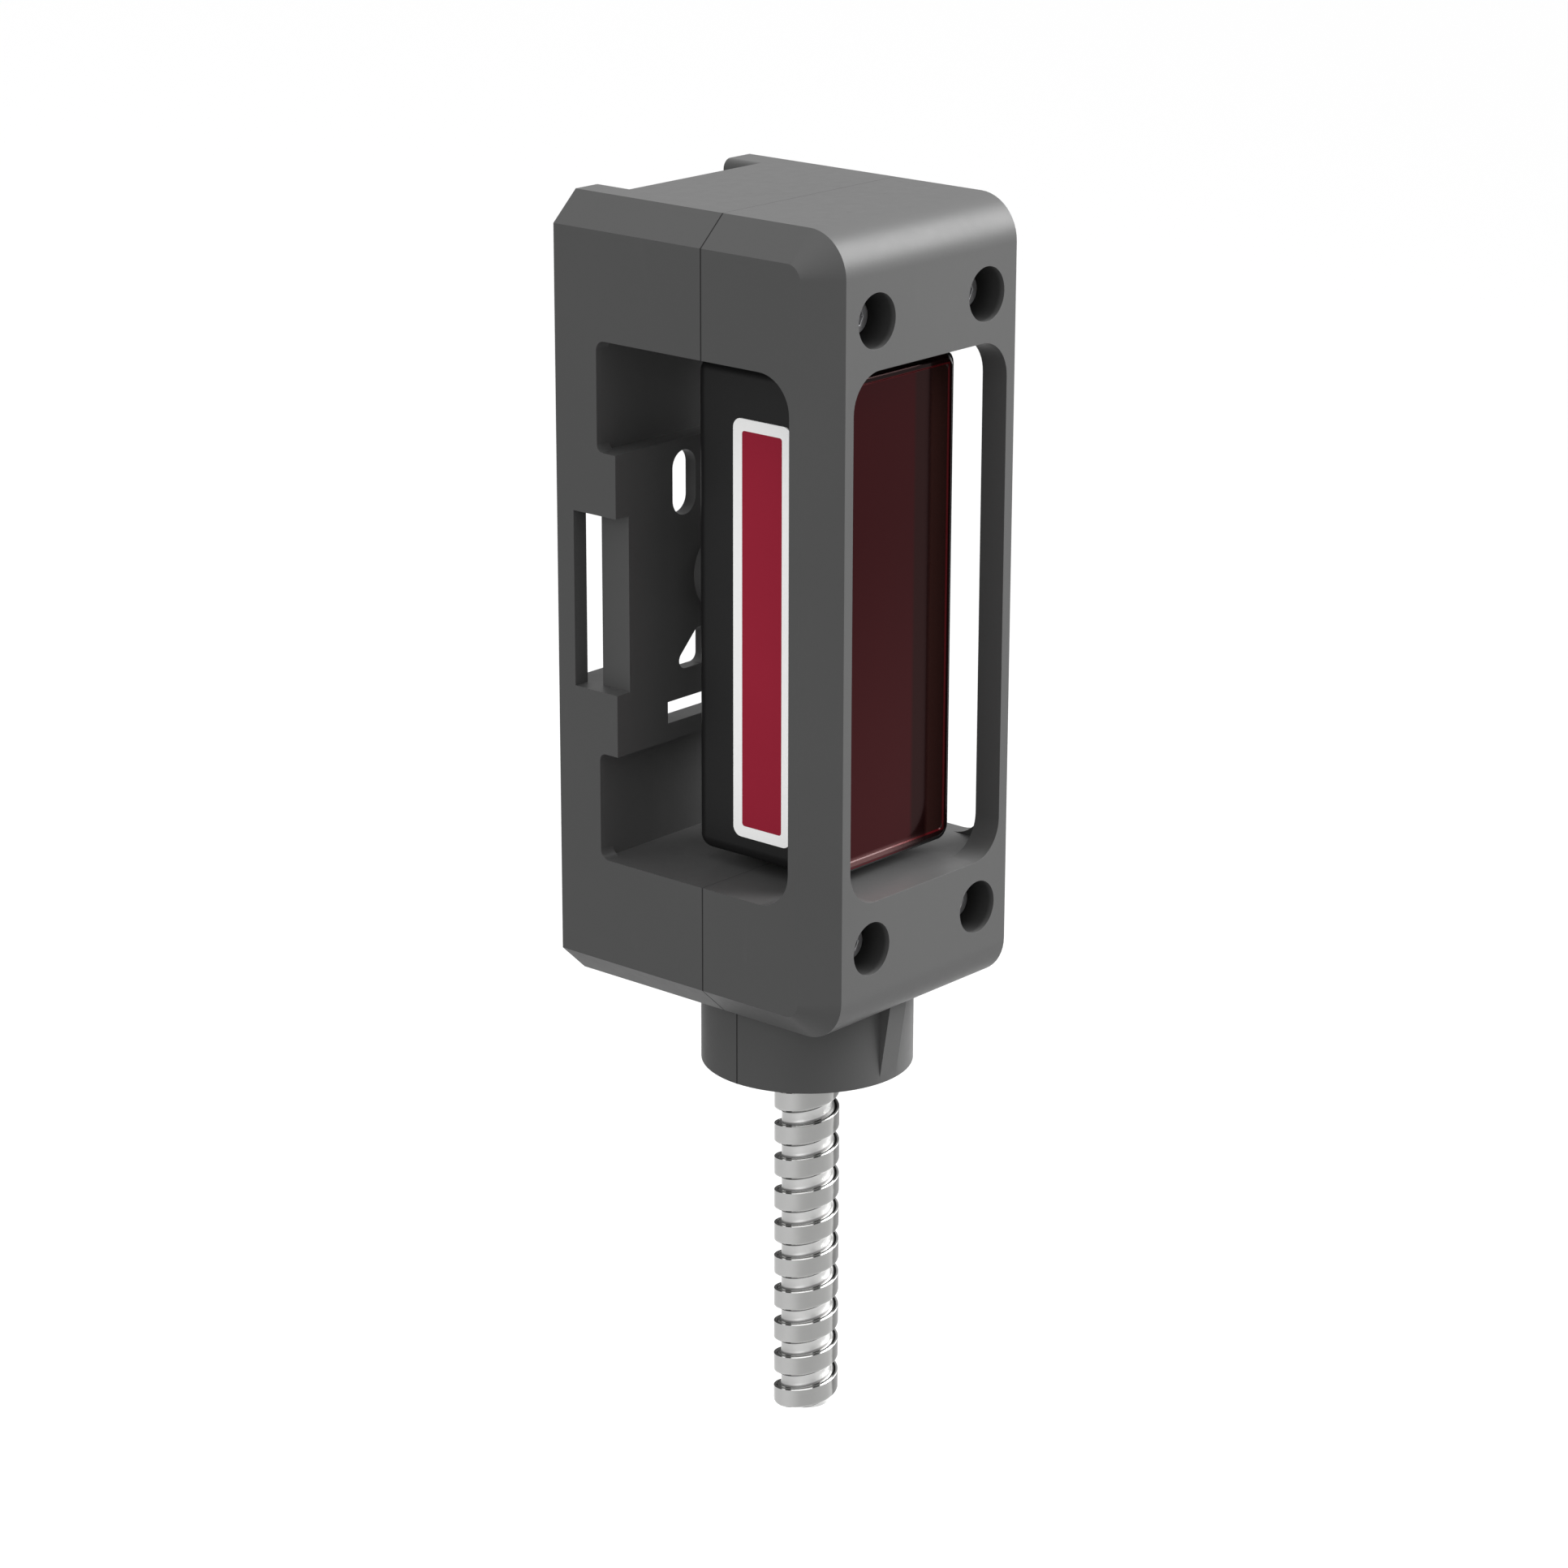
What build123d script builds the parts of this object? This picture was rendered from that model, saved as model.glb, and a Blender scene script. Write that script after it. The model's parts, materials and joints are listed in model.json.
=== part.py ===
from build123d import *
from math import cos, pi, radians, sin, sqrt, tan
import os

os.makedirs("parts", exist_ok=True)

# Lengths are millimetres. Depths run back from the guard's front face (y = 0), heights from its middle,
# and every piece is moved at the end so that y = 0 is the wall plane behind the guard.

# Guard, outer form
guard_width = 50.0
guard_depth = 54.0
guard_height = 126.0
seam_depth = 24.0
profile_corner_r = 7.0
chamfer_across = 5.0
chamfer_in_profile = 4.6

# Guard, walls and windows
side_wall = 2.8
front_plate = 4.7
post_depth = 6.6
window_half_width = 18.1
cavity_half_height = 41.5
window_corner_r = 6.0
side_window_rear_r = 1.6
upper_plate_depth = 45.4
upper_plate_thickness = 1.9

# Guard, pad in the middle of the back
pad_depth = 41.6
pad_half_height = 24.1
pad_skin = 2.1
pad_rim = 2.0
step_corner_r = 1.2

# Guard, channel between the rear ears, and the ways for a mounting strap
ear_inner_half_width = 13.8
ear_corner_r = 1.6
strap_half_height = 14.1
rail_depth = 3.5

# Guard, openings in the pad
slot_x = 9.4
slot_z = 17.1
slot_width = 5.3
slot_length = 10.4
corner_hole_outer_x = 12.7
corner_hole_inner_x = 4.6
corner_hole_bottom_z = -13.0
corner_hole_r = 1.4
bar_slot_half_width = 13.4
bar_slot_top_z = -17.7
bar_slot_height = 3.5

# Screws that hold the two halves of the guard together
guard_screw_x = 12.9
guard_screw_z = 49.0
screw_recess_r = 4.25
screw_seat_depth = 6.9
screw_length = 25.0
screw_r = 1.5
screw_head_r = 2.75
screw_head_height = 3.0
screw_head_chamfer = 0.3
screw_socket_across = 2.5
screw_socket_depth = 1.5
screw_clearance = 0.2
thread_clearance = 0.03
tapped_extra_depth = 2.5

# Conduit boss under the guard
boss_r = 17.0
boss_height = 13.3
rib_half_width = 2.0
rib_top_depth = 5.1
rib_foot_depth = 7.3

# Sensor case
sensor_width = 30.4
sensor_front_depth = 8.0
sensor_back_depth = 34.2
sensor_bottom_z = -39.5
sensor_height = 78.6
sensor_wall = 3.1
sensor_back_wall = 2.3
sensor_corner_r = 2.3

# Window, its gasket and the label
window_frame = 1.9
window_setback = 0.2
window_thickness = 2.0
window_corner_r_small = 1.2
window_edge_bevel = 0.5
window_gap = 0.1
gasket_thickness = 0.8
label_front_depth = 14.4
label_width = 11.7
label_bottom_z = -35.6
label_height = 66.6
label_corner_r = 1.6
label_thickness = 0.25

# Optical carrier, lenses and filters
carrier_depth = 13.2
carrier_plate = 1.6
carrier_gap = 0.2
carrier_corner_r = 3.2
lens_r = 5.5
lens_edge = 1.2
lens_rise = 1.4
lens_tube_wall = 1.2
lens_seat_lip = 0.8
emitter_z = 17.0
receiver_z = -12.0
filter_thickness = 0.5
lens_tube_length = 7.5

# Circuit board and what it carries
board_rear_room = 3.9
board_thickness = 1.6
board_half_height = 33.0
board_edge_gap = 0.5
diode_r = 2.5
diode_length = 4.6
diode_flange_r = 2.9
diode_flange = 1.0
status_light_x = 8.5
status_light_z = 2.5
status_light_side = 1.8
status_light_height = 0.9
light_pipe_r = 1.1
chip_width = 8.0
chip_height = 11.0
chip_thickness = 1.6
chip_z = -10.0
terminal_half_width = 6.0
terminal_height = 6.0
terminal_reach = 2.2
carrier_screw_upper_z = 28.0
carrier_screw_lower_z = -22.6
carrier_post_r = 2.3
carrier_screw_r = 1.1
carrier_screw_bite = 3.0
carrier_screw_tip_room = 0.5
carrier_screw_head_r = 2.0
carrier_screw_head = 1.3
carrier_screw_head_chamfer = 0.4
carrier_screw_cross_reach = 1.2
carrier_screw_cross_width = 0.4
carrier_screw_cross_depth = 0.6

# Fixing of the sensor to the pad
fixing_z = 1.5
fixing_boss_r = 7.2
fixing_screw_r = 2.0
fixing_screw_length = 14.0
fixing_head_r = 3.8
fixing_head_height = 2.6
fixing_head_rounding = 1.3
fixing_drive_across = 2.5
fixing_drive_depth = 1.4
insert_r = 3.0
insert_length = 3.9
insert_boss_r = 4.6

# Way of the cable from the sensor into the boss
nipple_r = 6.0
nipple_bore_r = 3.0
nipple_bottom_z = -54.5
nipple_proud = 1.0
boss_floor = 5.5
nut_across = 16.0
nut_height = 5.0
nut_chamfer = 0.8
chamber_r = 9.8
seat_gasket_r = 7.2
bushing_r = 9.0
bushing_height = 9.8
bushing_setback = 0.5
bushing_flange_r = 10.6
bushing_flange = 2.5
bushing_flange_offset = 3.5
fit_gap = 0.1

# Interlocked conduit and the ferrule on its upper end
conduit_band_r = 5.25
conduit_neck_r = 4.05
conduit_bore_r = 3.3
conduit_pitch = 5.79
conduit_face_height = 2.85
conduit_ledge_height = 0.3
conduit_rounding_turn = radians(75)
conduit_end_z = -136.7
conduit_start_z = -63.6
ferrule_wall = 0.9
ferrule_hole_r = 2.9
ferrule_skirt = 2.3
grip_clearance = 0.02

# Cable and its wires
cable_r = 2.6
cable_bore_r = 1.9
cable_top_z = -35.6
cable_end_setback = 1.5
wire_r = 0.7
wire_copper_r = 0.32
wire_circle_r = 1.05
wire_count = 4
wire_end_proud = 0.4

# Forms that are joined run this far into each other, and cutters run on 1 mm past what they open
overlap = 0.5


def box(x0, x1, y0, y1, z0, z1):
    """A block between two values along each axis."""
    centre = Pos((x0 + x1) / 2, (y0 + y1) / 2, (z0 + z1) / 2)
    return centre * Box(x1 - x0, y1 - y0, z1 - z0)


def along_y(radius, y0, y1, x=0.0, z=0.0):
    """A round bar along the depth."""
    return Pos(x, (y0 + y1) / 2, z) * Rot(X=90) * Cylinder(radius, y1 - y0)


def along_z(radius, z0, z1, x=0.0, y=seam_depth):
    """A round bar along the height."""
    return Pos(x, y, (z0 + z1) / 2) * Cylinder(radius, z1 - z0)


def prism(face, y0, y1):
    """A flat outline in x and z, carried along the depth from y0 to y1."""
    return Pos(0, y1, 0) * extrude(Plane.XZ * face, y1 - y0)


def rounded_block(x0, x1, y0, y1, z0, z1, radius):
    """A block whose four edges along the depth are rounded."""
    block = box(x0, x1, y0, y1, z0, z1)
    return fillet(block.edges().filter_by(Axis.Y), radius)


def mirrored(shape):
    """The shape's mirror image about the middle plane."""
    return mirror(shape, Plane.YZ)


def edges_at(shape, axis, depth, low_z, high_z):
    """Edges along an axis that lie at one depth, with their height's size between two values."""
    chosen = []
    for edge in shape.edges().filter_by(axis):
        middle = edge.center()
        if abs(middle.Y - depth) < 0.01 and low_z < abs(middle.Z) < high_z:
            chosen.append(edge)
    return chosen


# Sizes that follow from the ones above
half_width = guard_width / 2
half_height = guard_height / 2
inner_half_width = half_width - side_wall
channel_depth = upper_plate_depth + upper_plate_thickness
pad_skin_back = pad_depth + pad_skin
rail_depth_front = guard_depth - rail_depth
boss_bottom_z = -half_height - boss_height
chamber_top_z = -cavity_half_height - boss_floor
bushing_bottom_z = boss_bottom_z + bushing_setback
bushing_top_z = bushing_bottom_z + bushing_height
board_back = sensor_back_depth - sensor_back_wall - board_rear_room
board_depth = board_back - board_thickness
terminal_bottom_z = -board_half_height
beyond = 20.0


def outer_block():
    """The guard's outside: rounded front corners in profile, and chamfers that follow the profile."""
    block = box(-half_width, half_width, 0, guard_depth, -half_height, half_height)
    front = [edge for edge in block.edges().filter_by(Axis.X) if edge.center().Y < 0.01]
    block = fillet(front, profile_corner_r)
    for end in (0, -1):
        side_face = block.faces().sort_by(Axis.X)[end]
        rim = [edge for edge in side_face.edges() if edge.center().Y < guard_depth - 0.01]
        block = chamfer(rim, chamfer_in_profile, chamfer_across, reference=side_face)
    return block


def boss_and_rib():
    """The round conduit boss, with the wedge-shaped rib at its front."""
    boss = along_z(boss_r, boss_bottom_z, -half_height + 1)
    rib_outline = Polyline(
        (rib_top_depth, -half_height + 0.4),
        (rib_foot_depth, boss_bottom_z),
        (seam_depth - 5, boss_bottom_z),
        (seam_depth - 5, -half_height + 0.4),
        close=True,
    )
    return boss + extrude(Plane.YZ * make_face(rib_outline), rib_half_width, both=True)


def side_window():
    """Cutter of the right side window: large front corners, and a step at the pad."""
    top = cavity_half_height
    outline = Polyline(
        (post_depth, -top),
        (upper_plate_depth, -top),
        (upper_plate_depth, -pad_half_height),
        (pad_depth, -pad_half_height),
        (pad_depth, pad_half_height),
        (upper_plate_depth, pad_half_height),
        (upper_plate_depth, top),
        (post_depth, top),
        close=True,
    )
    start = Pos(inner_half_width - 0.1, 0, 0)
    cutter = start * extrude(Plane.YZ * make_face(outline), side_wall + beyond)
    cutter = fillet(edges_at(cutter, Axis.X, post_depth, top - 1, top + 1), window_corner_r)
    cutter = fillet(edges_at(cutter, Axis.X, upper_plate_depth, top - 1, top + 1), side_window_rear_r)
    low = pad_half_height - 1
    return fillet(edges_at(cutter, Axis.X, upper_plate_depth, low, low + 2), step_corner_r)


def cavity():
    """Cutters of the room for the sensor, and of the front window."""
    top = cavity_half_height
    inner = inner_half_width
    cutters = [box(-inner, inner, front_plate, pad_depth, -top, top)]
    cutters.append(box(-inner, inner, pad_depth - 1, upper_plate_depth, pad_half_height, top))
    cutters.append(box(-inner, inner, pad_depth - 1, upper_plate_depth, -top, -pad_half_height))
    front = rounded_block(-window_half_width, window_half_width, -beyond, front_plate + 1,
                          -top, top, window_corner_r)
    cutters.append(front)
    return cutters


def back_channel():
    """Cutters of the channel between the ears, the pad's pocket and the strap ways."""
    ear = ear_inner_half_width
    strap = strap_half_height
    channel = box(-ear, ear, channel_depth, guard_depth + beyond, -half_height - 1, half_height + 1)
    pocket_half_height = pad_half_height - pad_rim
    pocket = box(-ear, ear, pad_skin_back, channel_depth + 1, -pocket_half_height, pocket_half_height)
    behind_pad = box(ear - 1, inner_half_width, channel_depth, guard_depth + beyond, -strap, strap)
    notch = box(inner_half_width - 0.1, half_width + beyond, pad_depth - 1, rail_depth_front, -strap, strap)
    return [channel, pocket, behind_pad, mirrored(behind_pad), notch, mirrored(notch)]


def pad_openings():
    """Cutters of the screw slots, corner holes and bar slot in the pad."""
    front = pad_depth - 2
    back = pad_skin_back + 1
    slot_outline = Pos(slot_x, slot_z) * SlotOverall(slot_length, slot_width, rotation=90)
    slot = prism(slot_outline, front, back)
    rise = corner_hole_outer_x - corner_hole_inner_x
    corner_outline = make_face(Polyline(
        (corner_hole_outer_x, corner_hole_bottom_z),
        (corner_hole_inner_x, corner_hole_bottom_z),
        (corner_hole_inner_x, corner_hole_bottom_z + rise),
        close=True,
    ))
    corner_outline = fillet(corner_outline.vertices(), corner_hole_r)
    corner_hole = prism(corner_outline, front, back)
    bar_slot = box(-bar_slot_half_width, bar_slot_half_width, front, back,
                   bar_slot_top_z - bar_slot_height, bar_slot_top_z)
    return [slot, mirrored(slot), corner_hole, mirrored(corner_hole), bar_slot]


def screw_places():
    """Centres of the four guard screws, with their names."""
    places = []
    for level, z in (("top", guard_screw_z), ("bottom", -guard_screw_z)):
        for side, x in (("left", -guard_screw_x), ("right", guard_screw_x)):
            places.append((level + "_" + side, x, z))
    return places


def screw_holes():
    """Cutters of the recesses, clearance holes and tapped holes of the guard screws."""
    cutters = []
    end_depth = screw_seat_depth + screw_length + tapped_extra_depth
    for name, x, z in screw_places():
        cutters.append(along_y(screw_recess_r, -1, screw_seat_depth, x, z))
        cutters.append(along_y(screw_r + screw_clearance, screw_seat_depth - 1, seam_depth, x, z))
        cutters.append(along_y(screw_r + thread_clearance, seam_depth - 1, end_depth, x, z))
    return cutters


def boss_bores():
    """Cutters of the nipple's hole, the nut's chamber and the bushing's seat."""
    flange_top_z = bushing_top_z - bushing_flange_offset
    return [
        along_z(nipple_r + fit_gap, chamber_top_z - 1, -cavity_half_height + 1),
        along_z(chamber_r, bushing_top_z, chamber_top_z),
        along_z(bushing_r, boss_bottom_z - 1, bushing_top_z + 1),
        along_z(bushing_flange_r, flange_top_z - bushing_flange, flange_top_z),
    ]


def guard():
    """The guard as one body, before it is parted at the seam."""
    body = outer_block() + boss_and_rib()
    for cutter in cavity() + back_channel() + pad_openings():
        body -= cutter
    window = side_window()
    body -= window
    body -= mirrored(window)
    body += along_y(fixing_boss_r, sensor_back_depth, pad_skin_back, 0, fixing_z)
    body -= along_y(fixing_screw_r + screw_clearance, sensor_back_depth - 1, channel_depth, 0, fixing_z)
    for cutter in screw_holes() + boss_bores():
        body -= cutter
    ear_edges = []
    for edge in body.edges().filter_by(Axis.Y):
        middle = edge.center()
        at_ear = abs(abs(middle.X) - ear_inner_half_width) < 0.01
        if at_ear and abs(abs(middle.Z) - half_height) < 0.01:
            ear_edges.append(edge)
    return fillet(ear_edges, ear_corner_r)


def socket_screw(x, z):
    """A socket head screw of the guard, its head towards the front."""
    head_front = screw_seat_depth - screw_head_height
    head = along_y(screw_head_r, head_front, screw_seat_depth, x, z)
    rim = [edge for edge in head.edges() if abs(edge.center().Y - head_front) < 0.01]
    head = chamfer(rim, screw_head_chamfer)
    screw = head + along_y(screw_r, screw_seat_depth - 0.5, screw_seat_depth + screw_length, x, z)
    socket = Pos(x, z) * RegularPolygon(screw_socket_across / sqrt(3), 6)
    return screw - prism(socket, head_front - 1, head_front + screw_socket_depth)


def sensor_case():
    """The black case: open at the front, stepped for the window and its gasket."""
    half = sensor_width / 2
    top = sensor_bottom_z + sensor_height
    front, back = sensor_front_depth, sensor_back_depth
    case = rounded_block(-half, half, front, back, sensor_bottom_z, top, sensor_corner_r)
    rear = [edge for edge in case.edges() if abs(edge.center().Y - back) < 0.01]
    case = fillet(rear, sensor_corner_r)
    case -= window_room(window_setback + window_thickness + gasket_thickness, window_frame)
    inner = half - sensor_wall
    case -= rounded_block(-inner, inner, front - 1, back - sensor_back_wall,
                          sensor_bottom_z + sensor_wall, top - sensor_wall, window_corner_r_small)
    bottom_hole = along_z(nipple_r, sensor_bottom_z - 1, sensor_bottom_z + sensor_wall + 1)
    case -= bottom_hole
    inside_back = back - sensor_back_wall
    case += along_y(insert_boss_r, back - insert_length, inside_back + overlap, 0, fixing_z)
    case -= along_y(insert_r, back - insert_length - 1, back + 1, 0, fixing_z)
    for z in (carrier_screw_lower_z, carrier_screw_upper_z):
        case += along_y(carrier_post_r, board_back, inside_back + overlap, 0, z)
        hole_end = board_back + carrier_screw_bite + carrier_screw_tip_room
        case -= along_y(carrier_screw_r + thread_clearance, board_depth, hole_end, 0, z)
    return case


def window_room(depth, frame):
    """The room in the sensor's front for the window, down to a depth and inside a frame."""
    half = sensor_width / 2 - frame
    top = sensor_bottom_z + sensor_height - frame
    return rounded_block(-half, half, sensor_front_depth - 1, sensor_front_depth + depth,
                         sensor_bottom_z + frame, top, window_corner_r_small)


def front_window():
    """The dark red window, its front edges bevelled."""
    half = sensor_width / 2 - window_frame - window_gap
    front = sensor_front_depth + window_setback
    top = sensor_bottom_z + sensor_height - window_frame - window_gap
    bottom = sensor_bottom_z + window_frame + window_gap
    pane = rounded_block(-half, half, front, front + window_thickness, bottom, top, window_corner_r_small)
    rim = [edge for edge in pane.edges() if abs(edge.center().Y - front) < 0.01]
    return chamfer(rim, window_edge_bevel)


def window_gasket():
    """The rubber frame between the window and the step of the case."""
    half = sensor_width / 2 - window_frame
    front = sensor_front_depth + window_setback + window_thickness
    top = sensor_bottom_z + sensor_height - window_frame
    bottom = sensor_bottom_z + window_frame
    ring = rounded_block(-half, half, front, front + gasket_thickness, bottom, top, window_corner_r_small)
    inner = sensor_width / 2 - sensor_wall
    inside = sensor_wall - window_frame
    return ring - rounded_block(-inner, inner, front - 1, front + 2,
                                bottom + inside, top - inside, window_corner_r_small)


def lens_carrier():
    """The black moulding behind the window that holds both lenses, with posts down to the board."""
    inner = sensor_width / 2 - sensor_wall - carrier_gap
    bottom = sensor_bottom_z + sensor_wall + carrier_gap
    top = sensor_bottom_z + sensor_height - sensor_wall - carrier_gap
    carrier = rounded_block(-inner, inner, carrier_depth, carrier_depth + carrier_plate,
                            bottom, top, carrier_corner_r)
    tube_r = lens_r + lens_tube_wall
    tube_end = carrier_depth + lens_tube_length
    for z in (emitter_z, receiver_z):
        carrier += along_y(tube_r, carrier_depth + overlap, tube_end, 0, z)
    for z in (carrier_screw_lower_z, carrier_screw_upper_z):
        carrier += along_y(carrier_post_r, carrier_depth + overlap, board_depth, 0, z)
    for z in (emitter_z, receiver_z):
        seat = carrier_depth + filter_thickness + lens_edge
        carrier -= along_y(lens_r, carrier_depth - 1, seat, 0, z)
        carrier -= along_y(lens_r - lens_seat_lip, seat - 1, tube_end + 1, 0, z)
    for z in (carrier_screw_lower_z, carrier_screw_upper_z):
        carrier -= along_y(carrier_screw_r + screw_clearance, carrier_depth - 1, board_depth + 1, 0, z)
    return carrier - along_y(light_pipe_r, carrier_depth - 1, board_depth, status_light_x, status_light_z)


def lens(z):
    """A lens: a flat disc in front, bulging towards the board."""
    front = carrier_depth + filter_thickness
    back = front + lens_edge
    disc = along_y(lens_r, front, back, 0, z)
    clear_r = lens_r - lens_seat_lip
    ball_r = (clear_r ** 2 + lens_rise ** 2) / (2 * lens_rise)
    ball = Pos(0, back + lens_rise - ball_r, z) * Sphere(ball_r)
    return disc + (ball & along_y(clear_r, back - overlap, back + lens_rise + 1, 0, z))


def diode(z):
    """An emitter or receiver: a round body with a domed end, on a flange at the board."""
    dome_depth = board_depth - diode_length + diode_r
    body = along_y(diode_r, dome_depth, board_depth, 0, z)
    body += Pos(0, dome_depth, z) * Sphere(diode_r)
    body -= along_y(diode_flange_r, board_depth, board_depth + diode_length, 0, z)
    return body + along_y(diode_flange_r, board_depth - diode_flange, board_depth, 0, z)


def circuit_board():
    """The board, with the holes for the carrier's screws."""
    inner = sensor_width / 2 - sensor_wall - board_edge_gap
    board = box(-inner, inner, board_depth, board_back, -board_half_height, board_half_height)
    for z in (carrier_screw_lower_z, carrier_screw_upper_z):
        board -= along_y(carrier_screw_r + screw_clearance, board_depth - 1, board_back + 1, 0, z)
    return board


def carrier_screw(z):
    """A small screw from the carrier's front through the board into the case."""
    head_front = carrier_depth - carrier_screw_head
    head = along_y(carrier_screw_head_r, head_front, carrier_depth, 0, z)
    rim = [edge for edge in head.edges() if abs(edge.center().Y - head_front) < 0.01]
    screw = chamfer(rim, carrier_screw_head_chamfer)
    screw += along_y(carrier_screw_r, carrier_depth - overlap, board_back + carrier_screw_bite, 0, z)
    reach = carrier_screw_cross_reach
    half = carrier_screw_cross_width / 2
    cross_end = head_front + carrier_screw_cross_depth
    screw -= box(-reach, reach, head_front - 1, cross_end, z - half, z + half)
    screw -= box(-half, half, head_front - 1, cross_end, z - reach, z + reach)
    return screw


def fixing_screw():
    """The screw that draws the sensor's back against the guard's boss, its head in the pad's pocket."""
    head_back = pad_skin_back + fixing_head_height
    head = along_y(fixing_head_r, pad_skin_back, head_back, 0, fixing_z)
    rim = [edge for edge in head.edges() if abs(edge.center().Y - head_back) < 0.01]
    screw = fillet(rim, fixing_head_rounding)
    screw += along_y(fixing_screw_r, pad_skin_back - fixing_screw_length, pad_skin_back + overlap, 0, fixing_z)
    drive = Pos(0, fixing_z) * RegularPolygon(fixing_drive_across / sqrt(3), 6)
    return screw - prism(drive, head_back - fixing_drive_depth, head_back + 1)


def sensor_label():
    """The label's sheet on the left side of the sensor, its corners rounded."""
    x = -sensor_width / 2
    centre = Pos(x - label_thickness / 2, label_front_depth + label_width / 2,
                 label_bottom_z + label_height / 2)
    sheet = centre * Box(label_thickness, label_width, label_height)
    return fillet(sheet.edges().filter_by(Axis.X), label_corner_r)


def nipple_nut():
    """The nut that clamps the nipple under the cage's floor, its corners chamfered."""
    bottom = chamber_top_z - nut_height
    nut = Pos(0, seam_depth, bottom) * extrude(RegularPolygon(nut_across / sqrt(3), 6), nut_height)
    corner_r = nut_across / sqrt(3)
    bar = along_z(corner_r, bottom, chamber_top_z)
    bar = chamfer(bar.edges().filter_by(GeomType.CIRCLE), nut_chamfer)
    return (nut & bar) - along_z(nipple_r + thread_clearance, bottom - 1, chamber_top_z + 1)


def sensor_nipple():
    """The hollow nipple from the sensor's bottom through the cage's floor."""
    top = sensor_bottom_z + sensor_wall + nipple_proud
    tube = along_z(nipple_r, nipple_bottom_z, top)
    return tube - along_z(nipple_bore_r, nipple_bottom_z - 1, top + 1)


def conduit_bushing():
    """The ring that grips the conduit in the boss, with a flange in the boss's groove."""
    flange_top_z = bushing_top_z - bushing_flange_offset
    ring = along_z(bushing_r, bushing_bottom_z, bushing_top_z)
    ring += along_z(bushing_flange_r, flange_top_z - bushing_flange, flange_top_z)
    return ring - along_z(conduit_band_r + grip_clearance, bushing_bottom_z - 1, bushing_top_z + 1)


def conduit_ferrule():
    """The cap on the conduit's upper end that keeps its cut edge off the cable."""
    skirt_z = conduit_start_z - ferrule_skirt
    cap = along_z(conduit_band_r + ferrule_wall, skirt_z, conduit_start_z + ferrule_wall)
    cap -= along_z(conduit_band_r + grip_clearance, skirt_z - 1, conduit_start_z)
    return cap - along_z(ferrule_hole_r, conduit_start_z - 1, conduit_start_z + 2)


def flex_conduit():
    """Strip wound into a tube: a thin core, and a raised band that climbs as a right-hand helix.

    The band has a flat ledge on top, an upright face, and rounds in below, ending in a short slope to the core.
    """
    core = along_z(conduit_neck_r, conduit_end_z, conduit_start_z)
    ledge_z = conduit_end_z - conduit_pitch + conduit_ledge_height
    run = conduit_start_z - ledge_z + 2 * conduit_pitch
    path = Pos(0, seam_depth, ledge_z) * Helix(conduit_pitch, run, conduit_neck_r)
    rise = conduit_band_r - conduit_neck_r
    face_end = -conduit_face_height
    inside = (conduit_neck_r - conduit_bore_r) / 2
    half_turn = conduit_rounding_turn / 2
    halfway = (rise * cos(half_turn), face_end - rise * sin(half_turn))
    slope_top = (rise * cos(conduit_rounding_turn), face_end - rise * sin(conduit_rounding_turn))
    slope_foot = (-inside, slope_top[1] - (slope_top[0] + inside) / tan(conduit_rounding_turn))
    rounding = ThreePointArc((rise, face_end), halfway, slope_top)
    sides = Polyline(slope_top, slope_foot, (-inside, 0), (rise, 0), (rise, face_end))
    section = Plane(origin=path @ 0, x_dir=(1, 0, 0), z_dir=(0, -1, 0)) * make_face([rounding, sides])
    band = sweep(section, path, is_frenet=True)
    band = band & along_z(conduit_band_r + 1, conduit_end_z, conduit_start_z)
    return (core + band) - along_z(conduit_bore_r, conduit_end_z - 1, conduit_start_z + 1)


def cable_jacket():
    """The cable's jacket from inside the sensor to just inside the conduit's cut end."""
    bottom = conduit_end_z + cable_end_setback
    return along_z(cable_r, bottom, cable_top_z) - along_z(cable_bore_r, bottom - 1, cable_top_z + 1)


def wire_places():
    """Where each wire runs in the cable."""
    places = []
    for index in range(wire_count):
        turn = 2 * pi * (index + 0.5) / wire_count
        places.append((wire_circle_r * cos(turn), seam_depth + wire_circle_r * sin(turn)))
    return places


wire_bottom_z = conduit_end_z + cable_end_setback - wire_end_proud
nodes = {}

whole_guard = guard()
front_side = box(-guard_width, guard_width, -beyond, seam_depth, -2 * guard_height, 2 * guard_height)
nodes["front_guard"] = whole_guard & front_side
nodes["rear_guard"] = whole_guard - front_side
for name, x, z in screw_places():
    nodes["guard_screw_" + name] = socket_screw(x, z)

nodes["sensor_case"] = sensor_case()
nodes["front_window"] = front_window()
nodes["window_gasket"] = window_gasket()
nodes["sensor_label"] = sensor_label()
nodes["lens_carrier"] = lens_carrier()
nodes["emitter_lens"] = lens(emitter_z)
nodes["receiver_lens"] = lens(receiver_z)
filter_back = carrier_depth + filter_thickness
nodes["emitter_filter"] = along_y(lens_r, carrier_depth, filter_back, 0, emitter_z)
nodes["receiver_filter"] = along_y(lens_r, carrier_depth, filter_back, 0, receiver_z)
nodes["circuit_board"] = circuit_board()
nodes["emitter_diode"] = diode(emitter_z)
nodes["receiver_diode"] = diode(receiver_z)
light_half = status_light_side / 2
light_front = board_depth - status_light_height
nodes["status_light"] = box(status_light_x - light_half, status_light_x + light_half, light_front, board_depth,
                            status_light_z - light_half, status_light_z + light_half)
nodes["light_pipe"] = along_y(light_pipe_r, carrier_depth, light_front, status_light_x, status_light_z)
nodes["control_chip"] = box(-chip_width / 2, chip_width / 2, board_back, board_back + chip_thickness,
                            chip_z - chip_height / 2, chip_z + chip_height / 2)
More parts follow.
